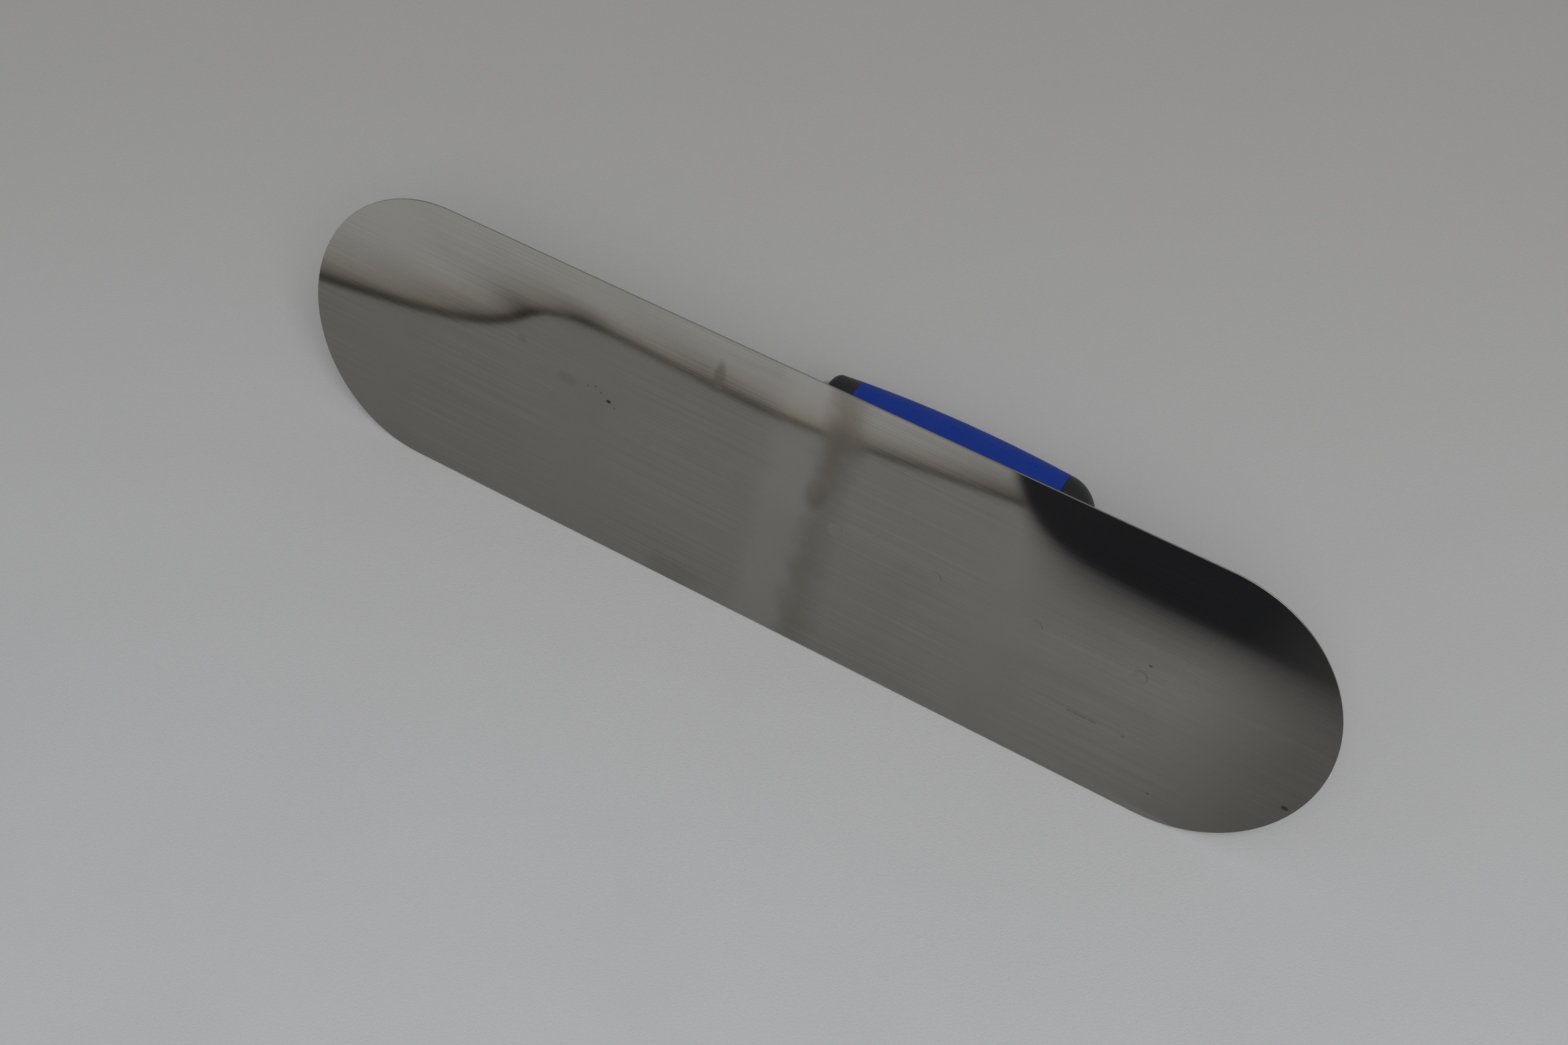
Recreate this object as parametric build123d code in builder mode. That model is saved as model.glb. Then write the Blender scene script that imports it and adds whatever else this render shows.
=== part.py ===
"""Round-ended flexible finishing trowel, resting on its lower blade edge and the belly of its grip.

Every piece is drawn with the tool lying flat: X runs along the blade, Z rises from the working face
to the grip, and Z = 0 is the working face. The last section leans the whole tool into its resting
pose, with the floor at Z = 0 and the origin under the middle of the tool.
"""

import os
from math import asin, atan2, cos, degrees, hypot, radians, sin, sqrt, tan

from build123d import *

# Blade: one spring steel sheet with two half-round ends
blade_length = 400.0
blade_width = 104.0
blade_thickness = 0.5
blade_edge_round = 0.12

# Mounting bar: aluminium strip down the middle of the blade's back
bar_length = 292.0
bar_width = 30.0
bar_height = 6.0
bar_side_slope = 20.0
bar_tip_height = 1.8
bar_tip_length = 60.0
bar_edge_round = 0.8

# Rivets, evenly spaced about the middle of the blade; the two under the shank's foot are longer
rivet_pitch = 38.0
rivet_count = 8
foot_rivets_from = 2
foot_rivet_count = 2
rivet_radius = 2.1
rivet_flush_radius = 2.7
rivet_head_radius = 3.8
rivet_head_height = 1.7
rivet_spot_margin = 0.4

# Shank: foot, goose neck and tang cast in one
foot_overhang = 9.0
foot_height = 4.0
neck_from_foot_centre = -4.0
foot_margin = 0.9
foot_edge_round = 1.2
neck_root_across = 17.0
neck_root_along = 15.0
neck_across = 15.0
neck_along = 11.0
neck_bend = 20.0
neck_run = 4.0
neck_root_round = 2.4
shoulder_across = 24.0
shoulder_along = 20.0
shoulder_length = 3.0
shoulder_round = 0.8
tang_radius = 4.5
thread_radius = 3.0

# Grip: two-colour moulded handle, its axis parallel to the blade
finger_gap = 42.0
front_black_length = 11.4
front_half_height = 12.9
blue_length = 83.6
rear_black_length = 14.6
belly_from_front = 57.0
belly_half_height = 15.0
grip_ovality = 1.3
grip_crown_radius = 700.0
front_edge_round = 3.2
seam_round = 0.25

# Core inside the grip, and the nut that draws the grip on to the tang
core_half_width = 12.0
core_half_height = 9.0
core_cover = 3.5
core_rib_height = 1.5
core_rib_width = 3.0
core_ribs = 6
core_web = 6.0
tang_clearance = 0.2
nut_across_flats = 10.0
nut_height = 5.0
washer_radius = 6.0
washer_thickness = 1.2
nut_room = 0.6
thread_reach = 3.0
core_rim = 2.6

# Moulded marks along both sides of the blue sleeve: a dimple, then a shallow dash
mark_count = 5
mark_pitch = 15.5
mark_inset = 7.3
mark_turn = 8.0
dimple_radius = 1.0
dimple_depth = 0.4
dash_start = 2.2
dash_length = 7.5
dash_width = 0.9
dash_depth = 0.2

# Places that follow from the sizes above
bar_top = blade_thickness + bar_height
foot_top = bar_top + foot_height
bar_flat_width = bar_width - 2 * bar_height * tan(radians(bar_side_slope))
foot_width = bar_flat_width - 2 * foot_margin
rivet_xs = [rivet_pitch * (slot - (rivet_count - 1) / 2) for slot in range(rivet_count)]
foot_rivet_xs = rivet_xs[foot_rivets_from : foot_rivets_from + foot_rivet_count]
bar_rivet_xs = [x for x in rivet_xs if x not in foot_rivet_xs]
rivet_spot_radius = rivet_head_radius + rivet_spot_margin
foot_length = foot_rivet_xs[-1] - foot_rivet_xs[0] + 2 * foot_overhang
foot_centre = (foot_rivet_xs[0] + foot_rivet_xs[-1]) / 2
neck_x = foot_centre + neck_from_foot_centre
grip_front = neck_x + neck_bend + neck_run
belly_at = grip_front + belly_from_front
grip_height = bar_top + finger_gap + belly_half_height
front_split = grip_front + front_black_length
rear_split = front_split + blue_length
grip_end = rear_split + rear_black_length
core_front = grip_front + core_cover
washer_seat = rear_split - nut_room - nut_height - washer_thickness
nut_seat = washer_seat + washer_thickness
thread_end = nut_seat + nut_height + thread_reach
core_end = thread_end + core_rim


def grip_half_height(x):
    """Half height of the grip at x: a shallow arc that is highest at the belly."""
    return belly_half_height - grip_crown_radius + sqrt(grip_crown_radius**2 - (x - belly_at) ** 2)


def grip_plane(x):
    """Plane square to the grip's axis at x, centred on that axis."""
    return Plane(origin=(x, 0, grip_height), x_dir=(0, 1, 0), z_dir=(1, 0, 0))


def rivet_seat(x):
    """Height of the flat under a rivet's head: the bar's top where the head's outer side reaches."""
    past_flat = abs(x) + rivet_head_radius - (bar_length / 2 - bar_tip_length)
    return bar_top - max(0, past_flat) * (bar_height - bar_tip_height) / bar_tip_length


# Blade, with a flush countersink through it for each rivet
with BuildPart() as blade:
    with BuildSketch():
        SlotOverall(blade_length, blade_width)
    extrude(amount=blade_thickness)
    fillet(blade.edges().group_by(Axis.Z)[0], blade_edge_round)
    with Locations(*[(x, 0) for x in rivet_xs]):
        Cone(
            rivet_flush_radius,
            rivet_radius,
            blade_thickness,
            align=(Align.CENTER, Align.CENTER, Align.MIN),
            mode=Mode.SUBTRACT,
        )

# Mounting bar: sloped sides, feathered ends, rivet holes, and a flat spot for each head on a slope
with BuildPart() as mounting_bar:
    with BuildSketch(Plane.XY.offset(blade_thickness)):
        SlotOverall(bar_length, bar_width)
    extrude(amount=bar_height, taper=bar_side_slope)
    with BuildSketch(Plane.XZ):
        with BuildLine():
            Polyline(
                (-bar_length / 2, blade_thickness),
                (bar_length / 2, blade_thickness),
                (bar_length / 2, blade_thickness + bar_tip_height),
                (bar_length / 2 - bar_tip_length, bar_top),
                (bar_tip_length - bar_length / 2, bar_top),
                (-bar_length / 2, blade_thickness + bar_tip_height),
                close=True,
            )
        make_face()
    extrude(amount=bar_width, both=True, mode=Mode.INTERSECT)
    upper_edges = mounting_bar.edges().filter_by_position(Axis.Z, bar_top - 0.01, bar_top + 0.01)
    fillet(upper_edges.filter_by(Axis.X), bar_edge_round)
    with Locations(*[(x, 0, bar_top) for x in rivet_xs]):
        Hole(rivet_radius)
    for x in [x for x in bar_rivet_xs if rivet_seat(x) < bar_top]:
        with BuildSketch(Plane.XY.offset(rivet_seat(x))):
            with Locations((x, 0)):
                Circle(rivet_spot_radius)
        extrude(amount=bar_height, mode=Mode.SUBTRACT)


def rivet_shank(x, seat):
    """One rivet at x: flush cone in the blade, straight shank, and a round cap snapped over the seat."""
    cap_radius = (rivet_head_radius**2 + rivet_head_height**2) / (2 * rivet_head_height)
    with BuildPart() as rivet:
        with BuildSketch(Plane.XZ):
            with BuildLine():
                Polyline(
                    (rivet_head_radius, seat),
                    (rivet_radius, seat),
                    (rivet_radius, blade_thickness),
                    (rivet_flush_radius, 0),
                    (0, 0),
                    (0, seat + rivet_head_height),
                )
                RadiusArc((0, seat + rivet_head_height), (rivet_head_radius, seat), cap_radius)
            make_face()
        revolve(axis=Axis.Z)
    return Location((x, 0, 0)) * rivet.part


# Rivets: flush with the working face, domed on the bar or on the shank's foot
with BuildPart() as blade_rivets:
    for x in bar_rivet_xs:
        add(rivet_shank(x, rivet_seat(x)))
with BuildPart() as foot_rivets:
    for x in foot_rivet_xs:
        add(rivet_shank(x, foot_top))

# Shank: foot on the bar, goose neck up and over, and the tang that carries the grip
with BuildPart() as shank:
    with BuildSketch(Plane.XY.offset(bar_top)):
        with Locations((foot_centre, 0)):
            SlotOverall(foot_length, foot_width)
    extrude(amount=foot_height)
    fillet(shank.edges().group_by(Axis.Z)[-1], foot_edge_round)
    with BuildLine(Plane.XZ) as neck_path:
        rise = Line((neck_x, bar_top), (neck_x, grip_height - neck_bend))
        turn = TangentArc(rise @ 1, (neck_x + neck_bend, grip_height), tangent=rise % 1)
        run = Line(turn @ 1, (grip_front, grip_height))
    with BuildSketch(Plane.XY.offset(bar_top)):
        with Locations((neck_x, 0)):
            Ellipse(neck_root_along / 2, neck_root_across / 2)
    with BuildSketch(Plane(run @ 1, x_dir=(0, 0, -1), z_dir=(1, 0, 0))):
        Ellipse(neck_along / 2, neck_across / 2)
    sweep(path=neck_path.wires()[0], multisection=True)
    root_edges = shank.edges().filter_by_position(Axis.Z, foot_top - 0.01, foot_top + 0.01)
    fillet(root_edges.filter_by(GeomType.BSPLINE), neck_root_round)
    with BuildSketch(grip_plane(grip_front)):
        Ellipse(shoulder_across / 2, shoulder_along / 2)
    extrude(amount=-shoulder_length)
    rims = shank.edges().filter_by_position(Axis.X, grip_front - shoulder_length, grip_front)
    fillet(rims.sort_by(Edge.length)[-2:], shoulder_round)
    with BuildSketch(grip_plane(grip_front)):
        Circle(tang_radius)
    extrude(amount=washer_seat - core_web - grip_front)
    with BuildSketch(grip_plane(grip_front)):
        Circle(thread_radius)
    extrude(amount=thread_end - grip_front)
    with Locations(*[(x, 0, foot_top) for x in foot_rivet_xs]):
        Hole(rivet_radius, depth=foot_height)

# Outer form shared by the grip's three moulded pieces: turned about its axis, then made oval
ring_half_height = grip_half_height(front_split)
tail_half_height = grip_half_height(rear_split)
with BuildPart() as grip_form:
    with BuildSketch(Plane.XZ):
        with BuildLine():
            crown = ThreePointArc(
                (front_split, grip_height + ring_half_height),
                (belly_at, grip_height + belly_half_height),
                (rear_split, grip_height + tail_half_height),
            )
            Line(crown @ 0, (grip_front + front_edge_round, grip_height + front_half_height))
            CenterArc(
                (grip_front + front_edge_round, grip_height + front_half_height - front_edge_round),
                front_edge_round,
                90,
                90,
            )
            Polyline(
                (grip_front, grip_height + front_half_height - front_edge_round),
                (grip_front, grip_height),
                (grip_end, grip_height),
            )
            EllipticalCenterArc(
                (rear_split, grip_height), rear_black_length, tail_half_height, arc_size=90
            )
        make_face()
    revolve(axis=Axis((0, 0, grip_height), (1, 0, 0)))
    scale(by=(1, grip_ovality, 1))

# Core: hard oval tube with keying ribs, bored for the tang and pocketed for the nut
rib_pitch = (blue_length - core_rib_width) / core_ribs
rib_places = [front_split + rib_pitch * (count + 0.5) for count in range(core_ribs)]
with BuildPart() as core_form:
    with BuildSketch(grip_plane(core_front)):
        Ellipse(core_half_width, core_half_height)
    extrude(amount=core_end - core_front)
    for place in rib_places:
        with BuildSketch(grip_plane(place)):
            Ellipse(core_half_width + core_rib_height, core_half_height + core_rib_height)
        extrude(amount=core_rib_width)
with BuildPart() as grip_core:
    add(core_form.part)
    with BuildSketch(grip_plane(core_front)):
        Circle(tang_radius + tang_clearance)
    extrude(amount=washer_seat - core_web - core_front, mode=Mode.SUBTRACT)
    with BuildSketch(grip_plane(core_front)):
        Circle(thread_radius + tang_clearance)
    extrude(amount=core_end - core_front, mode=Mode.SUBTRACT)
    with BuildSketch(grip_plane(washer_seat)):
        Circle(washer_radius + tang_clearance)
    extrude(amount=core_end - washer_seat, mode=Mode.SUBTRACT)

# Front black ring: covers the front of the core, and the neck's shoulder bears on it
with BuildPart() as front_ring:
    add(grip_form.part)
    split(bisect_by=grip_plane(front_split), keep=Keep.BOTTOM)
    add(core_form.part, mode=Mode.SUBTRACT)
    with BuildSketch(grip_plane(grip_front)):
        Circle(tang_radius + tang_clearance)
    extrude(amount=front_black_length, mode=Mode.SUBTRACT)
    ring_seam = front_ring.edges().filter_by_position(Axis.X, front_split, front_split, (True, True))
    fillet(ring_seam.sort_by(Edge.length)[-1], seam_round)

# Blue sleeve: moulded over the ribs, flush with both black ends, with a row of marks on each side
def mark_centre(x, side, hollow_radius, depth):
    """Centre of a round cutter that sinks to the given depth in one side of the sleeve at x."""
    half_height = grip_half_height(x)
    surface_y = half_height * grip_ovality * cos(radians(mark_turn))
    drop = half_height * sin(radians(mark_turn))
    return (x, side * (surface_y + hollow_radius - depth), grip_height - drop)


mark_starts = [front_split + mark_inset + mark_pitch * count for count in range(mark_count)]
dimple_ball = (dimple_radius**2 + dimple_depth**2) / (2 * dimple_depth)
dash_ball = (dash_width**2 / 4 + dash_depth**2) / (2 * dash_depth)
dash_centre = dash_start + dash_length / 2
with BuildPart() as grip_sleeve:
    add(grip_form.part)
    split(bisect_by=grip_plane(front_split), keep=Keep.TOP)
    split(bisect_by=grip_plane(rear_split), keep=Keep.BOTTOM)
    add(core_form.part, mode=Mode.SUBTRACT)
    for seam in (front_split, rear_split):
        sleeve_seam = grip_sleeve.edges().filter_by_position(Axis.X, seam, seam, (True, True))
        fillet(sleeve_seam.sort_by(Edge.length)[-1], seam_round)
    for side in (-1, 1):
        dimples = [mark_centre(x, side, dimple_ball, dimple_depth) for x in mark_starts]
        with Locations(*dimples):
            Sphere(dimple_ball, mode=Mode.SUBTRACT)
        dashes = [mark_centre(x + dash_centre, side, dash_ball, dash_depth) for x in mark_starts]
        with Locations(*dashes):
            Cylinder(dash_ball, dash_length, rotation=(0, 90, 0), mode=Mode.SUBTRACT)

# Rear black cap: domed, pressed over the end of the core, hollow around the nut
with BuildPart() as rear_cap:
    add(grip_form.part)
    split(bisect_by=grip_plane(rear_split), keep=Keep.TOP)
    add(core_form.part, mode=Mode.SUBTRACT)
    cap_seam = rear_cap.edges().filter_by_position(Axis.X, rear_split, rear_split, (True, True))
    fillet(cap_seam.sort_by(Edge.length)[-1], seam_round)

# Washer and nut at the end of the tang
with BuildPart() as tang_washer:
    with BuildSketch(grip_plane(washer_seat)):
        Circle(washer_radius)
        Circle(thread_radius, mode=Mode.SUBTRACT)
    extrude(amount=washer_thickness)
with BuildPart() as tang_nut:
    with BuildSketch(grip_plane(nut_seat)):
        RegularPolygon(nut_across_flats / 2, 6, major_radius=False)
        Circle(thread_radius, mode=Mode.SUBTRACT)
    extrude(amount=nut_height)

# Resting pose. The floor line runs from the blade's lower back edge to a tangent of the belly's
# oval, found where the oval is a unit circle; it turns the tool's Y axis down to the floor.
edge_across = blade_width / 2
edge_to_oval_y = -edge_across / (belly_half_height * grip_ovality)
edge_to_oval_z = (grip_height - blade_thickness) / belly_half_height
to_centre = atan2(edge_to_oval_z, edge_to_oval_y)
to_tangent = to_centre - asin(1 / hypot(edge_to_oval_y, edge_to_oval_z))
floor_line = atan2(sin(to_tangent), cos(to_tangent) * grip_ovality)
lean = Location((0, 0, 0), (-degrees(floor_line), 0, 0))

pieces = {
    "blade": blade,
    "mounting_bar": mounting_bar,
    "blade_rivets": blade_rivets,
    "shank": shank,
    "foot_rivets": foot_rivets,
    "front_ring": front_ring,
    "grip_core": grip_core,
    "grip_sleeve": grip_sleeve,
    "rear_cap": rear_cap,
    "tang_washer": tang_washer,
    "tang_nut": tang_nut,
}
for piece in pieces.values():
    piece.part.move(lean)
whole = Compound([piece.part for piece in pieces.values()])
box = whole.bounding_box(optimal=True)
rest = Location((-box.center().X, -box.center().Y, -box.min.Z))
os.makedirs("parts", exist_ok=True)
for name, piece in pieces.items():
    piece.part.move(rest)
    piece.part.label = name
    export_step(piece.part, f"parts/{name}.step")
print("lean of the blade from the floor, degrees:", round(180 - degrees(floor_line), 2))
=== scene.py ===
"""Round-ended finishing trowel, leaning on its lower blade edge and on the belly of its grip.

Metres throughout. The tool's own frame is x along the blade, y up the blade and z out of the working
face, in millimetres; place() carries it to where the tool rests on the floor at z = 0.
"""

from math import cos, radians, sin

import bmesh
import bpy
import numpy as np
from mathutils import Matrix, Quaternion, Vector


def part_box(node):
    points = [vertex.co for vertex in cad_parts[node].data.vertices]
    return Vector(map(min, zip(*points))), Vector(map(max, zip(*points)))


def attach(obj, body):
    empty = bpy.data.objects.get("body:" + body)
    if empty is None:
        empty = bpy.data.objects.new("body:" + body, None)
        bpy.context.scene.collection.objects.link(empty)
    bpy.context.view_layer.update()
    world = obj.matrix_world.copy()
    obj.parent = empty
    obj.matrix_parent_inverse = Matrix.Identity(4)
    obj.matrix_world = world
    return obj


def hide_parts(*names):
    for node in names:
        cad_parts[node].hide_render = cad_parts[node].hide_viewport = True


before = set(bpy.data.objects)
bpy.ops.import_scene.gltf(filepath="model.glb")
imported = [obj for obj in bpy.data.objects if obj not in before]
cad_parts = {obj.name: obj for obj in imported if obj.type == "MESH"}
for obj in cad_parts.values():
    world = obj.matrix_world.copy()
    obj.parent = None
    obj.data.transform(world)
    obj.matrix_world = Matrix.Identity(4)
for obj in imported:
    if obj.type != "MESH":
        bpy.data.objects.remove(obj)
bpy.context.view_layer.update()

# Camera: stands high in front of the working face and to its right, looks down at the tool, and tips a
# little on its own axis
aim = Vector((0.00056, -0.02783, 0.04103))
camera_turn, camera_height, camera_tip = radians(31.48), radians(58.89), radians(-1.75)
camera_distance = 0.70855
camera_data = bpy.data.cameras.new("camera")
camera_data.lens, camera_data.sensor_width = 47.07, 36.0
camera = bpy.data.objects.new("camera", camera_data)
bpy.context.scene.collection.objects.link(camera)
camera_back = Vector(
    (sin(camera_turn) * cos(camera_height), -cos(camera_turn) * cos(camera_height), sin(camera_height))
)
camera.rotation_mode = "QUATERNION"
camera.location = aim + camera_back * camera_distance
level_look = (-camera_back).to_track_quat("-Z", "Y")
camera.rotation_quaternion = Quaternion(camera_back, camera_tip) @ level_look
bpy.context.scene.camera = camera
bpy.context.scene.view_settings.view_transform = "Standard"


# Floor: a pale matt sheet laid flat, finely grained and faintly mottled, with no gloss. Its colour holds
# a
# painted light falloff: a little darker and warmer at the back than at the front.
class Wire:
    """One output of a shader node. Arithmetic on it adds Math nodes to the same finish."""

    def __init__(self, finish, node, output=0):
        self.finish, self.node, self.socket = finish, node, node.outputs[output]

    def out(self, output):
        return Wire(self.finish, self.node, output)

    def math(self, operation, *values):
        return self.finish.add("ShaderNodeMath", {"operation": operation}, dict(enumerate(values)))

    def __add__(self, other):
        return self.math("ADD", self, other)

    def __sub__(self, other):
        return self.math("SUBTRACT", self, other)

    def __rsub__(self, other):
        return self.math("SUBTRACT", other, self)

    def __mul__(self, other):
        return self.math("MULTIPLY", self, other)

    __radd__, __rmul__ = __add__, __mul__

    def __truediv__(self, other):
        return self.math("DIVIDE", self, other)

    def __pow__(self, other):
        return self.math("POWER", self, other)

    def __abs__(self):
        return self.math("ABSOLUTE", self)

    def step(self, start, end):
        """Eases from 0 where the wire is at start to 1 where it is at end."""
        sockets = {"Value": self, "From Min": start, "From Max": end}
        return self.finish.add("ShaderNodeMapRange", {"interpolation_type": "SMOOTHSTEP"}, sockets)


class Finish:
    """A new material and its nodes. add() puts in one node: its settings first, then its sockets."""

    def __init__(self, name):
        self.material = bpy.data.materials.new(name)
        self.material.use_nodes = True
        self.tree = self.material.node_tree
        self.tree.nodes.clear()

    def add(self, kind, settings=None, sockets=None, output=0):
        node = self.tree.nodes.new(kind)
        for setting, value in (settings or {}).items():
            setattr(node, setting, value)
        for socket, value in (sockets or {}).items():
            if isinstance(value, Wire):
                self.tree.links.new(value.socket, node.inputs[socket])
            else:
                node.inputs[socket].default_value = value
        return Wire(self, node, output) if node.outputs else None

    def where(self, turn=0.0, shift=(0.0, 0.0, 0.0)):
        """Object coordinates in millimetres, turned about x and then shifted."""
        place = self.add("ShaderNodeTexCoord", output="Object")
        sockets = {
            "Vector": place,
            "Scale": (1000.0, 1000.0, 1000.0),
            "Rotation": (turn, 0.0, 0.0),
            "Location": shift,
        }
        return self.add("ShaderNodeMapping", None, sockets)

    def noise(self, place, scale, detail=2.0, stretch=(1.0, 1.0, 1.0)):
        """Soft noise from 0 to 1 at a scale per millimetre, stretched by axis."""
        stretched = self.add("ShaderNodeMapping", None, {"Vector": place, "Scale": stretch})
        sockets = {"Vector": stretched, "Scale": scale, "Detail": detail}
        return self.add("ShaderNodeTexNoise", None, sockets, "Fac")

    def mix(self, mask, first, second):
        """First colour where the mask is 0 and second where it is 1."""
        settings = {"data_type": "RGBA", "clamp_factor": True}
        return self.add("ShaderNodeMix", settings, {0: mask, 6: first, 7: second}, 2)

    def surface(self, colour, roughness, height=None, depth=0.0001, metallic=0.0, **fixed):
        """Wires the shader: height is raised by up to depth metres where it is 1."""
        sockets = {"Base Color": colour, "Roughness": roughness, "Metallic": metallic, **fixed}
        if height is not None:
            sockets["Normal"] = self.add("ShaderNodeBump", None, {"Height": height, "Distance": depth})
        shader = self.add("ShaderNodeBsdfPrincipled", None, sockets)
        self.add("ShaderNodeOutputMaterial", None, {"Surface": shader})
        return self.material


def grid_mesh(name, points, material, wrap=False):
    """Mesh over a grid of points in metres, rows by columns; wrap joins the last column to the first."""
    rows, columns = points.shape[:2]
    numbers = np.arange(rows * columns).reshape(rows, columns)
    if wrap:
        numbers = np.hstack([numbers, numbers[:, :1]])
    corners = (numbers[:-1, :-1], numbers[:-1, 1:], numbers[1:, 1:], numbers[1:, :-1])
    faces = np.stack(corners, -1).reshape(-1, 4)
    mesh = bpy.data.meshes.new(name)
    mesh.from_pydata(points.reshape(-1, 3), [], faces.tolist())
    mesh.materials.append(material)
    thing = bpy.data.objects.new(name, mesh)
    bpy.context.scene.collection.objects.link(thing)
    return thing


sheet = Finish("pale_sheet")
sheet_place = sheet.where()
sheet_axes = sheet.add("ShaderNodeSeparateXYZ", None, {0: sheet_place})
# Painted light falloff: the sheet's colour is darker and warmer at the back, lighter and bluer at the
# front.
painted_light_falloff = (sheet_axes.out(0) * 0.35 - sheet_axes.out(1)).step(-520.0, 420.0)
sheet_back_painted_shade, sheet_front_painted_light = (0.455, 0.44, 0.415, 1), (0.60, 0.605, 0.62, 1)
sheet_blotch = (0.50, 0.50, 0.50, 1)
sheet_painted_falloff = sheet.mix(painted_light_falloff, sheet_back_painted_shade, sheet_front_painted_light)
sheet_mottle = sheet.noise(sheet_place, 0.012, 4.0)
sheet_colour = sheet.mix(sheet_mottle.step(0.35, 0.75) * 0.18, sheet_painted_falloff, sheet_blotch)
sheet_grain = sheet.noise(sheet_place, 1.3, 3.0)
sheet_roughness, sheet_grain_depth, sheet_half_size = 0.85, 0.0002, 12.0
sheet_lines = np.linspace(-sheet_half_size, sheet_half_size, 3)
floor_x, floor_y = np.meshgrid(sheet_lines, sheet_lines)
floor = grid_mesh(
    "floor",
    np.stack([floor_x, floor_y, 0 * floor_x], -1),
    sheet.surface(
        sheet_colour, sheet_roughness, sheet_grain, sheet_grain_depth, **{"Specular IOR Level": 0.0}
    ),
)

# Light: a pale, very slightly blue room all round, and one wide soft box that hangs above the tool, in
# front of it and to its right, and points at it
room = bpy.data.worlds.new("room")
room.use_nodes = True
room_light = room.node_tree.nodes["Background"].inputs
room_light["Color"].default_value = (0.97, 0.985, 1.0, 1)
room_light["Strength"].default_value = 0.325
bpy.context.scene.world = room
box_data = bpy.data.lights.new("soft_box", "AREA")
box_data.shape, box_data.size, box_data.size_y, box_data.energy = "RECTANGLE", 1.3, 1.0, 15.8
soft_box = bpy.data.objects.new("soft_box", box_data)
soft_box.location = (0.62, -0.75, 1.6)
soft_box.rotation_euler = (-Vector(soft_box.location)).to_track_quat("-Z", "Y").to_euler()
bpy.context.scene.collection.objects.link(soft_box)

# Painted reflections for the polished face to mirror: a pale wall beyond the sheet's edge, a dark
# doorway at the right, and painted shade from a corner of the room to the tool's right. Each is a
# glowing card laid just over the floor, one above another, and only glossy surfaces see it.
wall_level, doorway_level, corner_level = 0.3, 0.6, 0.9


def smooth_line(knots, count):
    """A curve through the knots: Catmull-Rom, each span a cubic of its four nearest knots."""
    knots = np.array(knots, float)
    ends = np.vstack([2 * knots[0] - knots[1], knots, 2 * knots[-1] - knots[-2]])
    along = np.linspace(0, len(knots) - 1 - 1e-6, count)
    span = along.astype(int)
    t = (along - span)[:, None]
    a, b, c, d = ends[span], ends[span + 1], ends[span + 2], ends[span + 3]
    square, cube = 2 * a - 5 * b + 4 * c - d, 3 * b - a - 3 * c + d
    return 0.5 * (2 * b + (c - a) * t + square * t**2 + cube * t**3)


def even(foot, reaches):
    """The same brightness all along a card."""
    return np.ones((len(reaches), len(foot)))


def painted_reflection_card(name, line, reaches, tones, level, clouds=even, away_from=(0, 0)):
    """Rows that lie at each reach from a foot line, straight away from a point.

    The line holds x, y and how far each reach is stretched there. Tones are (red, green, blue, cover),
    one for each reach, and clouds() gives their brightness by reach and along the foot.
    """
    foot, stretch = line[:, :2], line[:, 2:]
    outward = foot - np.array(away_from)
    outward = outward / np.linalg.norm(outward, axis=1)[:, None]
    flat = foot[None] + np.array(reaches)[:, None, None] * stretch[None] * outward[None]
    points = np.concatenate([flat, np.full(flat.shape[:2] + (1,), level)], -1) / 1000
    glow = Finish(name)
    tone = glow.add("ShaderNodeAttribute", {"attribute_name": "tone"}, output="Color")
    cover = glow.add("ShaderNodeAttribute", {"attribute_name": "tone"}, output="Alpha")
    lit = glow.add("ShaderNodeEmission", None, {"Color": tone})
    clear = glow.add("ShaderNodeBsdfTransparent")
    seen = glow.add("ShaderNodeMixShader", None, {0: cover, 1: clear, 2: lit})
    glow.add("ShaderNodeOutputMaterial", None, {"Surface": seen})
    card = grid_mesh(name, points, glow.material)
    colours = np.repeat(np.array(tones, float)[:, None], points.shape[1], 1)
    colours[..., :3] *= clouds(foot, np.array(reaches))[..., None]
    shade = card.data.attributes.new("tone", "FLOAT_COLOR", "POINT")
    shade.data.foreach_set("color", colours.ravel())
    card.visible_camera = card.visible_diffuse = False
    card.visible_shadow = card.visible_transmission = False


sheet_corners = [(-520, -150), (-330, -370), (-350, -590), (-190, -590), (-40, -720), (260, -980)]
sheet_edge = smooth_line([(x, y, 1) for x, y in sheet_corners], 120)


def wall_clouds(foot, reaches):
    """Darker clouds where the sheet ends: a sum of slow waves that fades with reach, and one blot.

    The blot is a bell curve along the foot line, and fades to both sides of its own reach.
    """
    blot_at, blot_half_length, blot_reach, blot_fade = 532, 17.0, 12, 34.0
    along_foot = np.cumsum(np.r_[0, np.linalg.norm(np.diff(foot, axis=0), axis=1)])[None]
    reach = reaches[:, None]
    waves = np.sin(along_foot / 31) + np.sin(along_foot / 17 + reach / 40) + np.sin(along_foot / 73 + 2)
    near = np.exp(-np.clip(reach, 0, None) / 130.0)
    blot = np.exp(-(((along_foot - blot_at) / blot_half_length) ** 2))
    blot = blot * np.exp(-np.abs(reach - blot_reach) / blot_fade)
    return (1 - near * 0.13 * (waves + 2.1).clip(0)) * (1 - 0.8 * blot)


painted_reflection_card(
    "pale_wall",
    sheet_edge,
    (-20, -6, 9, 22, 34, 50, 75, 110, 150, 220, 400, 900, 4000),
    [(0.2, 0.18, 0.16, 0), (0.15, 0.14, 0.12, 1), (0.16, 0.15, 0.125, 1), (0.40, 0.375, 0.34, 1),
     (0.50, 0.475, 0.44, 1), (0.54, 0.52, 0.49, 1), (0.60, 0.585, 0.57, 1), (0.66, 0.65, 0.65, 1),
     (0.70, 0.70, 0.71, 1), (0.72, 0.72, 0.74, 1), (0.74, 0.74, 0.77, 1), (0.72, 0.72, 0.75, 1),
     (0.60, 0.61, 0.63, 1)],
    wall_level,
    wall_clouds,
)


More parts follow.
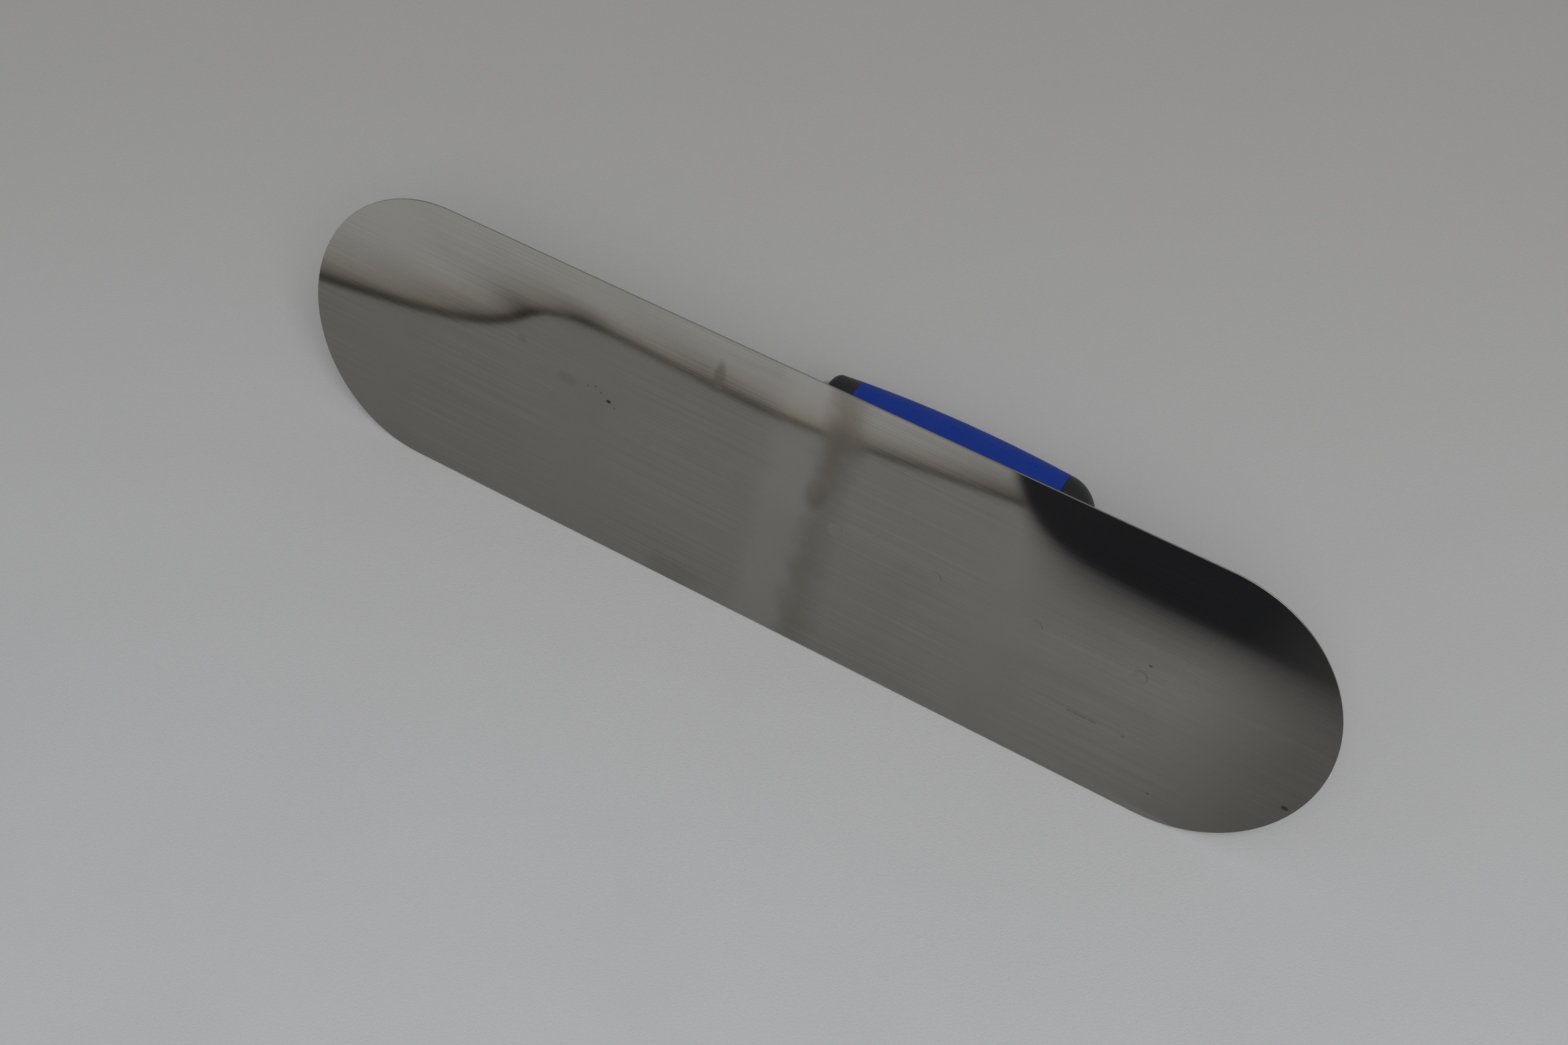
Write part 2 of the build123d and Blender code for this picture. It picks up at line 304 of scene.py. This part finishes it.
def doorway_foot():
    """Straight at the right, bending into a straight slant at the left, where its rim is sharper.

    The bend is the logarithm of 1 plus an exponential, and the rim's stretch is a logistic curve.
    """
    near_side, bend, slant = -545, 25, 3.8
    x = np.linspace(-420, 700, 160)
    y = near_side - slant * bend * np.log1p(np.exp(-x / bend))
    stretch = 0.25 + 1 / (1 + np.exp((25 - x) / 20))
    return np.stack([x, y, stretch], -1)


painted_reflection_card(
    "dark_doorway",
    doorway_foot(),
    (-210, -140, -80, -30, 0, 14, 30, 4000),
    [(0.2, 0.2, 0.2, 0), (0.18, 0.18, 0.18, 0.22), (0.15, 0.15, 0.15, 0.5), (0.13, 0.13, 0.135, 0.85),
     (0.07, 0.072, 0.08, 1), (0.030, 0.031, 0.038, 1), (0.032, 0.034, 0.041, 1),
     (0.052, 0.055, 0.062, 1)],
    doorway_level,
)
# Painted shade: a dark veil that thickens to the right of x = 120 mm and darkens what the blade's right
# end mirrors.
corner_full_cover, corner_rise_width = 0.6, 80
corner_rise = np.linspace(0, 1, 13)
corner_cover = corner_full_cover * corner_rise**2 * (3 - 2 * corner_rise)
painted_reflection_card(
    "painted_shade_corner",
    smooth_line([(120, -56, 1), (120, -1100, 1)], 120),
    (*(corner_rise_width * corner_rise), 900),
    [(0.12, 0.12, 0.125, cover) for cover in (*corner_cover, corner_full_cover)],
    corner_level,
    away_from=(-4000, -400),
)

# Blade: one flexible spring steel sheet with two half-round ends, brushed lengthwise, its edges
# dressed round, and riveted to the mounting bar. Use has left faint smears, specks and a row of short
# scratches on the working face.
blade_length, blade_width, blade_thickness = 400.0, 104.0, 0.5
edge_round, edge_ring = 0.12, 0.05
lean = radians(63.6988)
up_blade = np.array([0.0, cos(lean), sin(lean)])
out_of_face = np.array([0.0, -sin(lean), cos(lean)])
blade_low, blade_high = (np.array(corner) * 1000 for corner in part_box("blade"))
face_centre = (blade_low + blade_high) / 2 + out_of_face * blade_thickness / 2


def place(points):
    """Points in the tool's frame and millimetres, carried to where they rest, in metres."""
    x, y, z = points[..., :1], points[..., 1:2], points[..., 2:]
    return (face_centre + x * np.array([1.0, 0, 0]) + y * up_blade + z * out_of_face) / 1000


def tool_place(finish):
    """The tool's own x, y and z in millimetres, as a material's pattern reads them."""
    shift = -np.array([face_centre[0], face_centre @ up_blade, face_centre @ out_of_face])
    return finish.where(-lean, tuple(shift))


def finish_piece(thing, slot, *nodes):
    """Closes seams and poles, turns faces outward, smooths them, hangs the piece from the root body and
    hides the nodes it stands in for.
    """
    mesh = bmesh.new()
    mesh.from_mesh(thing.data)
    bmesh.ops.remove_doubles(mesh, verts=mesh.verts, dist=2e-7)
    bmesh.ops.dissolve_degenerate(mesh, edges=mesh.edges, dist=1e-8)
    bmesh.ops.recalc_face_normals(mesh, faces=mesh.faces)
    for face in mesh.faces:
        face.smooth = True
    for side in mesh.edges:
        side.smooth = len(side.link_faces) != 2 or side.calc_face_angle() < radians(38)
    mesh.to_mesh(thing.data)
    mesh.free()
    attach(thing, "root")
    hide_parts(*nodes)
    return thing


def blade_surface(straight_steps, arc_steps):
    """Section carried round a slot outline: two straight sides joined by half circles.

    The section runs from the middle line over the face to the rounded edge, a quarter circle, then
    back to the middle line behind. Narrow rings beside the edge keep its shine in place.
    """
    half, radius = (blade_length - blade_width) / 2, blade_width / 2
    straight = np.linspace(half, -half, straight_steps, endpoint=False)
    turn = np.linspace(np.pi / 2, 3 * np.pi / 2, arc_steps, endpoint=False)
    centres = np.concatenate([straight, np.full(arc_steps, -half), -straight, np.full(arc_steps, half)])
    angles = np.concatenate([np.full(straight_steps, np.pi / 2), turn,
                             np.full(straight_steps, 3 * np.pi / 2), turn + np.pi])
    bend = np.linspace(0, np.pi / 2, 6)
    inset = radius - edge_round
    reach = np.concatenate([[0, 20, 40, 50, inset - edge_ring], inset + edge_round * np.sin(bend),
                            [radius, radius - edge_ring, radius - 2 * edge_ring, 40, 20, 0]])
    level = np.concatenate([np.zeros(5), edge_round * (np.cos(bend) - 1),
                            [edge_ring - blade_thickness], np.full(5, -blade_thickness)])
    x = centres[None] + reach[:, None] * np.cos(angles)[None]
    y = reach[:, None] * np.sin(angles)[None]
    return np.stack([x, y, np.repeat(level[:, None], len(centres), 1)], -1)


steel = Finish("brushed_blade_steel")
steel_place = tool_place(steel)
steel_axes = steel.add("ShaderNodeSeparateXYZ", None, {0: steel_place})
along, across = steel_axes.out(0), steel_axes.out(1)
brushing = steel.noise(steel_place, 1.0, 3.0, (0.012, 5.0, 5.0))
wide_brushing = steel.noise(steel_place, 1.0, 2.0, (0.004, 0.7, 0.7))
haze = steel.noise(steel_place, 0.03, 5.0)
ragged = steel.noise(steel_place, 0.11, 4.0) - 0.5


def smudge(x, y, half_length, half_width):
    """1 inside an oval with a soft ragged rim, 0 outside it."""
    reach = (((along - x) / half_length) ** 2 + ((across - y) / half_width) ** 2) ** 0.5
    return 1 - (reach + ragged * 0.5).step(0.35, 1.0)


def marks(*ovals):
    """Sum of smudges, each with its own strength."""
    return sum(smudge(*oval) * strength for *oval, strength in ovals)


smear_middle, smear_half_width = 13.0, 11.0
smear = (1 - abs(along + ragged * 8 - smear_middle).step(0.0, smear_half_width)) * haze
stain = smear * (0.9 + across.step(-10.0, 25.0) * 0.75) + marks(
    (9, 9.5, 6, 8, 0.45),
    (-35, -48, 16, 7, 0.3),
    (-35, 37, 2.8, 8, 0.75),
    (-92, 9, 5, 3, 0.35),
    (-112, 16, 3, 2.5, 0.3),
)
band_place = along + ragged * 9
lighter_band = band_place.step(-16.0, -6.0) * (1 - band_place.step(2.0, 11.0))
specks = marks((-74, 7.5, 1.5, 0.9, 1.0), (135, 6, 1.0, 0.7, 0.5), (192, -22, 1.7, 1.1, 0.8))
fine_specks = ((-77.5, 9.5), (-80, 11), (-83, 10), (-71.5, 6), (-139, 10.5), (150, -42))
specks = specks + marks(*((x, y, 0.8, 0.5, 0.45) for x, y in fine_specks))
scratch_level, scratch_start, scratch_end = -25, 97.0, 144.0
scratches = 1 - abs(across - scratch_level + ragged * 1.2).step(0.2, 0.9)
scratches = scratches * along.step(scratch_start, scratch_start + 4)
scratches = scratches * (1 - along.step(scratch_end - 6, scratch_end))
scratches = scratches * steel.noise(steel_place, 1.0, 0.0, (0.35, 0.02, 0.02)).step(0.5, 0.6)
# Painted glint: a brighter band of colour round the rounded edge, standing in for its shine.
painted_edge_glint = 1 - steel_axes.out(2).step(-0.16, -0.06)
painted_edge_glint = painted_edge_glint * steel_axes.out(2).step(-0.499, -0.47)
bright = steel.mix(brushing.step(0.3, 0.7), (0.262, 0.252, 0.226, 1), (0.318, 0.307, 0.279, 1))
for mask, colour in (
    (lighter_band * 0.32, (0.40, 0.385, 0.35, 1)),
    (haze.step(0.45, 0.75) * 0.22, (0.235, 0.218, 0.186, 1)),
    (stain * 0.62, (0.140, 0.115, 0.090, 1)),
    (scratches * 0.35, (0.12, 0.115, 0.10, 1)),
    (painted_edge_glint, (0.46, 0.45, 0.43, 1)),
    (specks, (0.05, 0.045, 0.04, 1)),
):
    bright = steel.mix(mask, bright, colour)
steel_roughness = 0.02 + brushing * 0.022 + wide_brushing * 0.015 + stain * 0.05 + specks * 0.4
brushing_depth = 0.8e-6
blade_steel = steel.surface(
    bright, steel_roughness, brushing * 0.6 + wide_brushing, brushing_depth, metallic=1.0
)
blade = grid_mesh("blade_sheet", place(blade_surface(90, 72)), blade_steel, wrap=True)
finish_piece(blade, "blade_steel", "blade")

# Mounting bar: a strip of extruded aluminium, riveted down the middle of the blade's back. Its ends are
# feathered, and the die's lines run its whole length.
bar_metal = Finish("extruded_aluminium")
bar_place = tool_place(bar_metal)
die_lines = bar_metal.noise(bar_place, 1.0, 3.0, (0.01, 2.6, 2.6))
bar_bloom = bar_metal.noise(bar_place, 0.06, 5.0)
bar_colour = bar_metal.mix(die_lines.step(0.3, 0.7), (0.50, 0.50, 0.50, 1), (0.66, 0.66, 0.65, 1))
bar_colour = bar_metal.mix(bar_bloom.step(0.5, 0.8) * 0.35, bar_colour, (0.40, 0.40, 0.41, 1))
bar_finish = bar_metal.surface(bar_colour, 0.32 + die_lines * 0.18, die_lines, 0.00004, metallic=1.0)


def dress(finish, *nodes):
    """Gives each node's body its finish."""
    for node in nodes:
        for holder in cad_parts[node].material_slots:
            holder.material = finish


dress(bar_finish, "mounting_bar")

# Rivets: steel, countersunk and dressed flush with the working face, set round over the back. Six
# clench the blade to the bar, with a flat spot for each head where the bar falls to its tips; the two
# longer ones also pass through the shank's foot.
rivet_pitch, rivet_count, foot_slots = 38.0, 8, (2, 3)
rivet_radius, flush_radius, head_radius, head_height = 2.1, 2.7, 3.8, 1.7
bar_back, foot_back, bar_flat_half, bar_fall = -6.5, -10.5, 86.0, 0.07
flush_proud, rivet_sides, cap_steps = 0.004, 48, 12


def seat_under_head(x, back):
    """Level of a head's seat: the back, nearer the blade by the bar's fall at the head's outer side."""
    return back + max(0.0, abs(x) + head_radius - bar_flat_half) * bar_fall


def rivet_surface(x, seat):
    """Profile turned about the rivet's axis: flush end, countersink, shank and head.

    The head is a cap cut from the ball whose radius is (reach squared + height squared) / 2 heights.
    """
    ball = (head_radius**2 + head_height**2) / (2 * head_height)
    cap = head_radius * (1 - np.linspace(0, 1, cap_steps))
    flush_reach = [0, 1.2, flush_radius - 0.25, flush_radius - 0.03, flush_radius]
    flush_level = [flush_proud, flush_proud, flush_proud, flush_proud / 2, -0.01]
    reach = np.concatenate([flush_reach, [rivet_radius, rivet_radius], cap])
    level = np.concatenate([flush_level, [-blade_thickness, seat],
                            seat - (np.sqrt(ball**2 - cap**2) - (ball - head_height))])
    turn = np.linspace(0, 2 * np.pi, rivet_sides, endpoint=False)
    one = np.stack([reach[:, None] * np.cos(turn), reach[:, None] * np.sin(turn),
                    np.repeat(level[:, None], rivet_sides, 1)], -1)
    return place(one + np.array([x, 0.0, 0.0]))


rivet_metal = Finish("rivet_steel")
rivet_grain = rivet_metal.noise(tool_place(rivet_metal), 1.0, 3.0, (0.3, 4.0, 4.0))
rivet_colour = rivet_metal.mix(rivet_grain, (0.262, 0.252, 0.226, 1), (0.306, 0.296, 0.268, 1))
rivet_level = rivet_metal.add("ShaderNodeSeparateXYZ", None, {0: tool_place(rivet_metal)}).out(2)
set_head = 1 - rivet_level.step(-1.5, -0.6)
rivet_colour = rivet_metal.mix(set_head, rivet_colour, (0.56, 0.55, 0.53, 1))
rivet_roughness = 0.05 + rivet_grain * 0.05 + set_head * 0.22
rivet_finish = rivet_metal.surface(
    rivet_colour, rivet_roughness, rivet_grain, brushing_depth, metallic=1.0
)


def rivet_group(name, slot_numbers, back, node):
    """One piece that holds every rivet of a row."""
    places = [rivet_pitch * (number - (rivet_count - 1) / 2) for number in slot_numbers]
    surfaces = [rivet_surface(x, seat_under_head(x, back)) for x in places]
    pieces = [grid_mesh(name, points, rivet_finish, wrap=True) for points in surfaces]
    joined = bmesh.new()
    for one in pieces:
        joined.from_mesh(one.data)
    joined.to_mesh(pieces[0].data)
    joined.free()
    for one in pieces[1:]:
        bpy.data.objects.remove(one)
    return finish_piece(pieces[0], "rivet_metal", node)


bar_slots = [number for number in range(rivet_count) if number not in foot_slots]
rivet_group("bar_rivets", bar_slots, bar_back, "blade_rivets")
rivet_group("long_rivets", foot_slots, foot_back, "foot_rivets")

# Shank: foot, goose neck and tang in one aluminium casting, held to the blade and the bar by the two
# long rivets. It is tumbled after casting, so its skin is faintly pebbled.
cast = Finish("cast_aluminium")
cast_place = tool_place(cast)
cast_pebble = cast.noise(cast_place, 1.1, 4.0)
cast_cloud = cast.noise(cast_place, 0.09, 4.0)
cast_colour = cast.mix(cast_cloud.step(0.35, 0.7), (0.47, 0.47, 0.48, 1), (0.60, 0.60, 0.60, 1))
cast_finish = cast.surface(cast_colour, 0.36 + cast_pebble * 0.2, cast_pebble, 0.00006, metallic=1.0)
dress(cast_finish, "shank")

# Grip ends: two hard black plastic mouldings with a finely etched skin. The ring covers the front of
# the core, and the shank's shoulder bears on it; the domed cap is pressed over the rear end and the nut.
black = Finish("black_moulding")
black_place = tool_place(black)
black_etch = black.noise(black_place, 3.2, 3.0)
black_rub = black.noise(black_place, 0.12, 4.0)
black_new, black_worn = (0.011, 0.0115, 0.013, 1), (0.022, 0.023, 0.025, 1)
black_colour = black.mix(black_rub.step(0.45, 0.8) * 0.5, black_new, black_worn)
black_finish = black.surface(
    black_colour, 0.42 + black_etch * 0.12, black_etch, 0.00003, **{"Specular IOR Level": 0.4}
)
dress(black_finish, "front_ring", "rear_cap")

# Grip sleeve: soft matt blue rubber moulded over the core's ribs, flush with both black ends, with a
# row of dimples and dashes on each side
rubber = Finish("blue_rubber")
rubber_place = tool_place(rubber)
rubber_skin = rubber.noise(rubber_place, 2.4, 3.0)
rubber_dust = rubber.noise(rubber_place, 0.10, 5.0)
rubber_clean, rubber_dusty = (0.004, 0.036, 0.300, 1), (0.014, 0.055, 0.34, 1)
rubber_colour = rubber.mix(rubber_dust.step(0.4, 0.8) * 0.35, rubber_clean, rubber_dusty)
rubber_finish = rubber.surface(
    rubber_colour, 0.52 + rubber_skin * 0.12, rubber_skin, 0.00004, **{"Specular IOR Level": 0.25}
)
dress(rubber_finish, "grip_sleeve")

# Core: an oval tube of hard grey plastic inside the grip, with ribs that key the rubber, as it comes
# from its mould. The shank's tang goes through its bore.
core = Finish("core_plastic")
core_flow = core.noise(tool_place(core), 0.25, 4.0, (0.3, 1.0, 1.0))
core_colour = core.mix(core_flow, (0.10, 0.10, 0.105, 1), (0.16, 0.16, 0.165, 1))
core_finish = core.surface(core_colour, 0.4 + core_flow * 0.15, core_flow, 0.00004)
dress(core_finish, "grip_core")

# Washer and nut: zinc-plated steel with the plating's faint straw-coloured bloom. They draw the grip
# on to the tang, in a pocket under the rear cap.
zinc = Finish("zinc_plate")
zinc_bloom = zinc.noise(tool_place(zinc), 0.5, 4.0)
zinc_colour = zinc.mix(zinc_bloom.step(0.3, 0.7), (0.55, 0.56, 0.58, 1), (0.62, 0.59, 0.48, 1))
zinc_finish = zinc.surface(zinc_colour, 0.25 + zinc_bloom * 0.2, zinc_bloom, 0.00002, metallic=1.0)
dress(zinc_finish, "tang_washer", "tang_nut")
